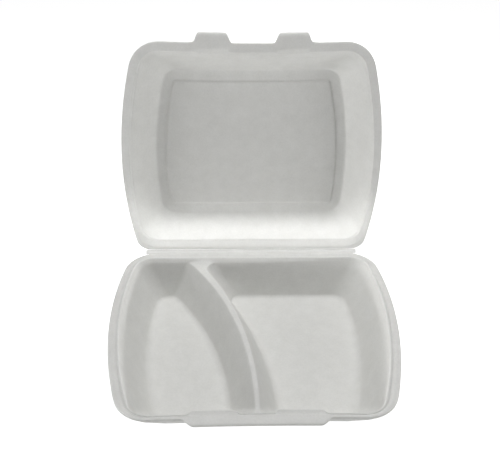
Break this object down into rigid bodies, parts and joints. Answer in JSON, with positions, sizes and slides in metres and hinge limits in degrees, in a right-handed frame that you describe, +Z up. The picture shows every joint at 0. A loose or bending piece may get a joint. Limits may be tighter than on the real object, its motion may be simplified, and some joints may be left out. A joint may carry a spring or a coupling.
{
  "type": "foam clamshell container",
  "caption": "Hinged foam meal box, open: base with a curved divider between a small and a large compartment, front lip with locking ledges, and a domed lid with closing tabs.",
  "frame": {"origin": "on the table under the middle of the base, half way between the fold line and the front edge of the rim", "axes": "+Z up, -Y toward the front lip, +Y toward the fold and the lid, +X to the right as seen from the front"},
  "size_m": [0.245, 0.2381, 0.2507],
  "materials": {
    "foam": "matte pressed polystyrene foam with a fine cell texture"
  },
  "bodies": {
    "base": {"base": "foam", "fold": "foam"},
    "lid": {"lid": "foam"}
  },
  "joints": [
    {"name": "lid_hinge", "type": "hinge", "parent": "base", "child": "lid", "pos_m": [0, 0.0995, 0.044], "axis": [1, 0, 0], "range_deg": [-88, 92], "deforming": ["fold"]}
  ]
}
